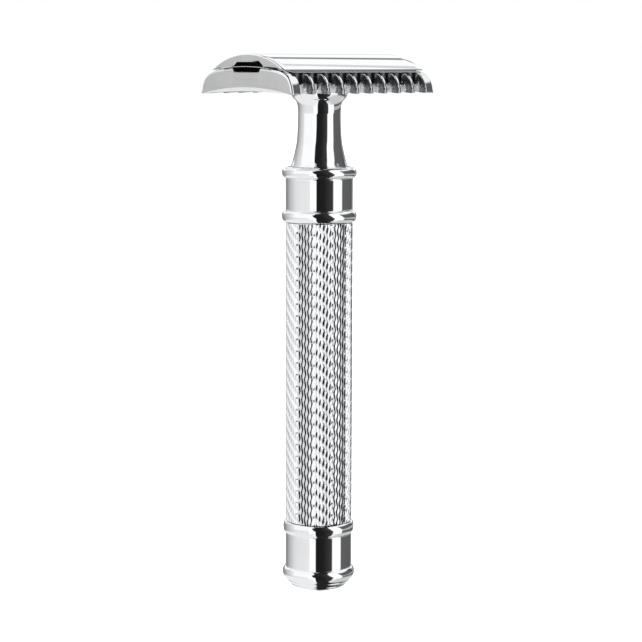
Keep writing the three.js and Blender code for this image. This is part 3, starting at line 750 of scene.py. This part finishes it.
# ------------------------------------------------------------------ head: cap
def make_cap():
    H = CAP_H
    low = lambda y: blade_z(y) + BT / 2 + 0.03
    top_edge = low(H) + 0.26
    rise = TIP_Z + APEX - top_edge
    R = (H * H + rise * rise) / (2 * rise)
    cz = TIP_Z + APEX - R
    ys = [-(H - 0.02) + (2 * H - 0.04) * k / 72 for k in range(73)]
    RAD = 0.28
    st = []
    for ang in (0, 18, 36, 54, 72, 90):
        q = math.radians(ang)
        st.append((RAD * (1 - math.cos(q)), RAD * (1 - math.sin(q))))
    xs = [(-CAP_HL + d, f) for d, f in st] + [(-CAP_HL + 1.5 + k * (2 * CAP_HL - 3.0) / 12, 0.0) for k in range(13)] + [(CAP_HL - d, f) for d, f in reversed(st)]
    bm = bmesh.new()
    secs = []
    for x, f in xs:
        tops, lows = [], []
        for y in ys:
            zt = cz + math.sqrt(R * R - y * y)
            thick = zt - low(y)
            ff = min(f, thick * 0.35)
            ny, nz = y / R, (zt - cz) / R
            tops.append(bm.verts.new(Vector((x, y - ny * ff, zt - nz * ff)) * MM))
            lows.append(bm.verts.new(Vector((x, y, low(y))) * MM))
        tipL = bm.verts.new(Vector((x, -H, (low(H) + top_edge) / 2 - 0.02)) * MM)
        tipR = bm.verts.new(Vector((x, H, (low(H) + top_edge) / 2 - 0.02)) * MM)
        secs.append((tops, lows, tipL, tipR))
    m = len(ys)
    for (T0, L0, a0, b0), (T1, L1, a1, b1) in zip(secs, secs[1:]):
        for k in range(m - 1):
            bm.faces.new((T0[k], T0[k + 1], T1[k + 1], T1[k]))
            bm.faces.new((L0[k + 1], L0[k], L1[k], L1[k + 1]))
        bm.faces.new((a0, T0[0], T1[0], a1)); bm.faces.new((L0[0], a0, a1, L1[0]))
        bm.faces.new((T0[-1], b0, b1, T1[-1])); bm.faces.new((b0, L0[-1], L1[-1], b1))
    for T0, L0, a0, b0 in (secs[0], secs[-1]):
        for k in range(m - 1):
            bm.faces.new((T0[k], T0[k + 1], L0[k + 1], L0[k]))
        bm.faces.new((a0, T0[0], L0[0])); bm.faces.new((T0[-1], b0, L0[-1]))
    bmesh.ops.recalc_face_normals(bm, faces=bm.faces[:])
    ob = finish_mesh("cap_cast", bm, [MAT["cap"], MAT["end_face"], MAT["plate"], MAT["recess"]], 40.0)
    t = TIP_Z
    for sgn in (-1, 1):
        o = [(-4.0, t + 4.6), (4.0, t + 4.6), (4.0, t + 5.45), (3.05, t + 6.25), (-3.05, t + 6.25), (-4.0, t + 5.45)]
        out_ = [(-4.25, t + 4.6), (4.25, t + 4.6), (4.25, t + 5.54), (3.14, t + 6.47), (-3.14, t + 6.47), (-4.25, t + 5.54)]
        boolean(ob, stepped("n", [(sgn * (HALF_L - 3.0), o), (sgn * (CAP_HL - 0.20), o), (sgn * (CAP_HL + 0.01), out_), (sgn * (HALF_L + 1), out_)]))
        # shallow hollow past the blade's corners
        for sy in (-1, 1):
            r_ = [(3.9, low(3.9) - 1), (3.9, low(3.9))] + [(y, low(y) + 0.30 * f_) for y, f_ in ((4.5, 0.18), (5, 0.36), (5.5, 0.54), (6, 0.7), (6.5, 0.84), (7, 0.95), (7.8, 1.0), (8.2, 0.9), (8.6, 0.75), (9.2, 0.42), (9.75, 0.22), (10.4, 0.2))] + [(10.4, low(3.9) - 1)]
            x0, x1 = sorted((sgn * 18.7, sgn * (HALF_L + 1)))
            boolean(ob, prism("r", [(sy * y, z) for y, z in r_], along_x, x0, x1))
    return ob
cap = make_cap()
def in_notch(c, end):
    """Inside an end notch, past the bright chamfer round its mouth."""
    return end - 3.1 < abs(c.x) < end - 0.19 and abs(c.y) < 4.03 and TIP_Z + 4.3 < c.z < TIP_Z + 6.3
def cap_rule(c, nrm):
    if abs(nrm.x) > 0.985 and abs(c.x) > CAP_HL - 0.02:
        return 1
    # faces inside the end notches get the near-black painted shade
    if in_notch(c, CAP_HL) and abs(c.x) > HALF_L - 3.05:
        return 3
    if nrm.z < -0.3 or abs(nrm.x) > 0.9:
        return 2
    return 0
paint(cap, cap_rule)
stand_for(cap, "cap", "chrome_cast", "cap")

seat = blade_z(STUD_R) + BT / 2
stud = thread_tube("cap_stud_threaded", STUD_R - 0.01, 0, STUD_Z0, seat - 0.35, 0.8, 0.42, [MAT["steel"]], inner=False, taper=0.55)
stud_neck = lathe("cap_stud_shoulder", [(0, seat - 0.36), (STUD_R - 0.35, seat - 0.36), (STUD_R - 0.05, seat - 0.22), (STUD_R - 0.05, seat), (0, seat)], [MAT["steel"]], seg=64)
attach(stud, "cap"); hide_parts("cap_stud")
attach(stud_neck, "cap")
pz0 = _plo[2]
for sgn, nm in ((-1, "left"), (1, "right")):
    pin = lathe("cap_pin_%s_turned" % nm, [(0, pz0), (PIN_R - 0.45, pz0)] + arc(PIN_R - 0.42, pz0 + 0.42, 0.42, -90, 0, 6) + [(PIN_R, seat), (0, seat)], [MAT["plate"]], seg=48)
    pin.data.transform(Matrix.Translation((sgn * PIN_X * MM, 0, 0)))
    stand_for(pin, "cap", "chrome_cast", "cap_pin_%s" % nm)

# ------------------------------------------------------------------ head: blade
def make_blade():
    ys = []
    W = BLADE_HW
    for k in range(41):
        ys.append(-W + 0.5 + (2 * W - 1.0) * k / 40)
    bm = bmesh.new()
    xs = [-BLADE_HL + 2 * BLADE_HL * k / 24 for k in range(25)]
    secs = []
    for x in xs:
        up = [bm.verts.new(Vector((x, y, blade_z(y) + BT / 2)) * MM) for y in ys]
        dn = [bm.verts.new(Vector((x, y, blade_z(y) - BT / 2)) * MM) for y in ys]
        eL = bm.verts.new(Vector((x, -W, blade_z(W))) * MM)
        eR = bm.verts.new(Vector((x, W, blade_z(W))) * MM)
        secs.append((up, dn, eL, eR))
    for (U0, D0, l0, r0), (U1, D1, l1, r1) in zip(secs, secs[1:]):
        for k in range(len(ys) - 1):
            bm.faces.new((U0[k], U0[k + 1], U1[k + 1], U1[k]))
            bm.faces.new((D0[k + 1], D0[k], D1[k], D1[k + 1]))
        bm.faces.new((l0, U0[0], U1[0], l1)); bm.faces.new((D0[0], l0, l1, D1[0]))
        bm.faces.new((U0[-1], r0, r1, U1[-1])); bm.faces.new((r0, D0[-1], D1[-1], r1))
    for U0, D0, l0, r0 in (secs[0], secs[-1]):
        for k in range(len(ys) - 1):
            bm.faces.new((U0[k], U0[k + 1], D0[k + 1], D0[k]))
        bm.faces.new((l0, U0[0], D0[0])); bm.faces.new((U0[-1], r0, D0[-1]))
    bmesh.ops.recalc_face_normals(bm, faces=bm.faces[:])
    ob = finish_mesh("blade_sheet", bm, [MAT["blade"], MAT["blade_edge"]], 30.0)
    z0, z1 = TIP_Z, TIP_Z + 9
    for sx in (-1, 1):
        for sy in (-1, 1):
            x0, x1 = sx * 18.8, sx * (BLADE_HL + 1)
            y0, y1 = sy * 6.5, sy * 12.5
            r = 0.5                                                   # rounded inner corner
            o = [(x1, y0), (x1, y1), (x0, y1)] + [(x0 + sx * r * (1 - math.cos(math.radians(q))), y0 + sy * r * (1 - math.sin(math.radians(q)))) for q in (0, 22.5, 45, 67.5, 90)]
            if sx * sy > 0:
                o.reverse()
            boolean(ob, prism("c", o, upright, z0, z1))
    slot = []
    hw, hl = 0.75, 16.5
    slot = [(hl - hw + hw * math.cos(math.radians(q)), hw * math.sin(math.radians(q))) for q in range(-90, 91, 15)]
    slot += [(-hl + hw + hw * math.cos(math.radians(q)), hw * math.sin(math.radians(q))) for q in range(90, 271, 15)]
    boolean(ob, prism("c", slot, upright, z0, z1))
    boolean(ob, prism("c", disc_outline(STUD_R + 0.25, n=64), upright, z0, z1))
    for sgn in (-1, 1):
        boolean(ob, prism("c", disc_outline(PIN_R + 0.15, sgn * PIN_X, 0, 40), upright, z0, z1))
    return ob
blade = make_blade()
paint(blade, lambda c, nrm: 1 if abs(c.y) > BLADE_HW - 0.7 and abs(c.x) < 18.9 else 0, 30.0)
stand_for(blade, "blade", "blade_steel", "blade")

# ------------------------------------------------------------------ CAD pieces that stay as they are, inside the handle
for node, m in (("upper_seal", "rubber"), ("lower_seal", "rubber"), ("tie_rod", "steel"), ("rod_washer", "steel"), ("rod_nut", "brass")):
    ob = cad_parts[node]
    ob.data.materials.clear()
    ob.data.materials.append(MAT[m])

# ------------------------------------------------------------------ stage: pale floor, studio surround
def floor():
    m, n, bs, tc = new_material("pale_floor")
    g = n.noise(tc, 40.0, 3.0, 0.5)
    n.put(bs.inputs["Base Color"], n.mix(g, rgba(0.90, 0.90, 0.90), rgba(0.93, 0.93, 0.93)))
    bs.inputs["Roughness"].default_value = 0.6
    bs.inputs["Specular IOR Level"].default_value = 0.1
    bs.inputs["Emission Color"].default_value = (1, 1, 1, 1)
    bs.inputs["Emission Strength"].default_value = 0.86
    bm = bmesh.new()
    vs = [bm.verts.new((x, y, 0)) for x, y in ((-4, -4), (4, -4), (4, 4), (-4, 4))]
    bm.faces.new(vs)
    ob = finish_mesh("studio_floor", bm, [m], smooth=False)
    ob.visible_glossy = False
floor()

# surround: white studio with one black flag, a grey flag and soft falls of light, by direction only
world = bpy.data.worlds.new("studio")
scene.world = world
world.use_nodes = True
w = N(world.node_tree)
out = w.new("ShaderNodeOutputWorld")
direction = w.new("ShaderNodeTexCoord").outputs["Generated"]
sep = w.new("ShaderNodeSeparateXYZ")
w.link(direction, sep.inputs[0])
dx, dy, dz = sep.outputs
FACE = AZ - 90.0                      # world azimuth, from +X, of the side that faces the camera
az = w.math("ARCTAN2", dy, dx)        # -pi..pi
turn = w.math("SUBTRACT", w.math("DIVIDE", az, math.radians(360.0)), FACE / 360.0 - 0.5)
turn = w.math("FRACT", turn)          # 0.5 is straight at the camera side, growing to its right
def at(deg):
    return 0.5 + deg / 360.0
side = w.math("ADD", w.math("MULTIPLY", dx, math.cos(a)), w.math("MULTIPLY", dy, math.sin(a)))   # to the camera's right
# level with the neck and above it the cards sit a little further round
nudge = w.math("ADD", w.remap(dz, -0.052, -0.036, 0.0, 5.5 / 360.0), w.remap(dz, 0.02, 0.40, 0.0, 7.0 / 360.0))
turned_on = w.math("ADD", turn, nudge)
ring = w.ramp(turned_on, [
    (0.000, 0.32), (at(-160), 0.30), (at(-138), 0.30), (at(-122), 0.50), (at(-108), 0.63), (at(-96), 0.76), (at(-80), 0.87), (at(-33), 0.91),
    (at(-29), 1.20), (at(-11), 1.20), (at(-8.5), 0.012), (at(18), 0.016), (at(47.5), 0.050),
    (at(51.5), 1.30), (at(82), 1.25), (at(86), 0.125), (at(134), 0.12), (at(142), 0.06), (at(150), 0.30), (1.000, 0.32)])
lift = w.math("MULTIPLY", w.remap(dz, -0.052, -0.036, 0.0, 1.0), w.ramp(turn, [(0.0, 0.0), (at(-92), 0.0), (at(-84), 1.0), (at(-36), 1.0), (at(-30), 0.0), (1.0, 0.0)]))
ring = w.mix(lift, ring, rgba(1.10, 1.10, 1.10))
# at the height of the grip a pale card stands in front of the grey flag
pale = w.math("MULTIPLY", w.remap(dz, -0.216, -0.208, 0.0, 1.0), w.remap(dz, -0.092, -0.086, 1.0, 0.0))
pale = w.math("MULTIPLY", pale, w.ramp(turn, [(0.0, 0.0), (at(80), 0.0), (at(86), 0.80), (at(150), 0.80), (at(156), 0.0), (1.0, 0.0)]))
ring = w.mix(pale, ring, rgba(0.60, 0.60, 0.60))
# how far up and down each part of the ring reaches before the white takes over
reach = w.ramp(turn, [(0.0, 0.05), (at(-140), 0.08), (at(-120), 0.45), (at(-40), 0.50), (at(-18), 0.55), (at(-13), 1.0), (at(46), 1.0), (at(52), 0.50), (at(82), 0.50),
                      (at(86), 0.43), (at(136), 0.40), (at(146), 0.08), (1.0, 0.05)])
reach_dn = w.ramp(turn, [(0.0, 0.29), (at(-19), 0.30), (at(-13), 1.0), (at(48), 1.0), (at(54), 0.36), (at(86), 0.36), (at(140), 0.30), (1.0, 0.29)])
up = w.remap(w.math("SUBTRACT", dz, reach), 0.0, 0.10, 0.0, 1.0)
down = w.remap(w.math("SUBTRACT", w.math("MULTIPLY", dz, -1.0), reach_dn), 0.0, 0.12, 0.0, 1.0)
sky = w.mix(up, ring, rgba(1.07, 1.07, 1.08))
floor_tone = w.ramp(turn, [(0.0, 0.95), (at(50), 0.95), (at(80), 0.66), (at(140), 0.66), (at(160), 0.95), (1.0, 0.95)])
sky = w.mix(down, sky, floor_tone)
# the black card carries on over the top as a wide strip and under the foot as a narrow one
strip = w.math("MULTIPLY", w.remap(side, -0.10, -0.06, 0.0, 1.0), w.remap(side, 0.26, 0.32, 1.0, 0.0))
poles = w.remap(dz, 0.74, 0.80, 0.0, 1.0)
sky = w.mix(w.math("MULTIPLY", strip, poles), sky, rgba(0.02, 0.02, 0.02))
under = w.math("MULTIPLY", w.remap(side, -0.08, -0.03, 0.0, 1.0), w.remap(side, 0.36, 0.42, 1.0, 0.0))
sky = w.mix(w.math("MULTIPLY", under, w.remap(dz, -0.62, -0.55, 1.0, 0.0)), sky, rgba(0.02, 0.02, 0.02))
wide = w.math("MULTIPLY", w.remap(side, -0.20, -0.17, 0.0, 1.0), w.remap(side, 0.38, 0.43, 1.0, 0.0))
above = w.math("SUBTRACT", dz, w.remap(side, 0.04, 0.14, 0.55, 0.72))
sky = w.mix(w.math("MULTIPLY", wide, w.remap(above, 0.0, 0.05, 0.0, 1.0)), sky, rgba(0.02, 0.02, 0.02))
# a thin dark batten high up behind, seen in the cap's dome
batten_h = w.math("MULTIPLY", w.remap(dz, 0.345, 0.37, 0.0, 1.0), w.remap(dz, 0.41, 0.44, 1.0, 0.0))
behind = w.math("ABSOLUTE", w.math("SUBTRACT", turn, 0.5))
batten = w.math("MULTIPLY", batten_h, w.remap(behind, 0.40, 0.43, 0.0, 0.85))
sky = w.mix(batten, sky, rgba(0.06, 0.06, 0.06))
batten2 = w.math("MULTIPLY", w.math("MULTIPLY", w.remap(dz, 0.560, 0.570, 0.0, 1.0), w.remap(dz, 0.590, 0.602, 1.0, 0.0)), w.remap(behind, 0.36, 0.40, 0.0, 0.45))
sky = w.mix(batten2, sky, rgba(0.25, 0.25, 0.25))
bg = w.new("ShaderNodeBackground")
w.link(sky, bg.inputs["Color"])
bg.inputs["Strength"].default_value = 1.0
plain = w.new("ShaderNodeBackground")
plain.inputs["Color"].default_value = (1, 1, 1, 1)
plain.inputs["Strength"].default_value = 1.0
lp = w.new("ShaderNodeLightPath")
mixs = w.new("ShaderNodeMixShader")
w.link(lp.outputs["Is Camera Ray"], mixs.inputs[0])
w.link(bg.outputs[0], mixs.inputs[1])
w.link(plain.outputs[0], mixs.inputs[2])
w.link(mixs.outputs[0], out.inputs["Surface"])

def area(name, loc, aim, size, power):
    ld = bpy.data.lights.new(name, "AREA")
    ld.shape = "RECTANGLE"
    ld.size, ld.size_y = size
    ld.energy = power
    ob = bpy.data.objects.new(name, ld)
    scene.collection.objects.link(ob)
    ob.location = loc
    ob.rotation_mode = "QUATERNION"
    ob.rotation_quaternion = (Vector(aim) - Vector(loc)).to_track_quat("-Z", "Y")
    ob.visible_glossy = False
    return ob
area("softbox_top", (0.1, -0.1, 1.1), (0, 0, 0), (1.6, 1.6), 14.0)
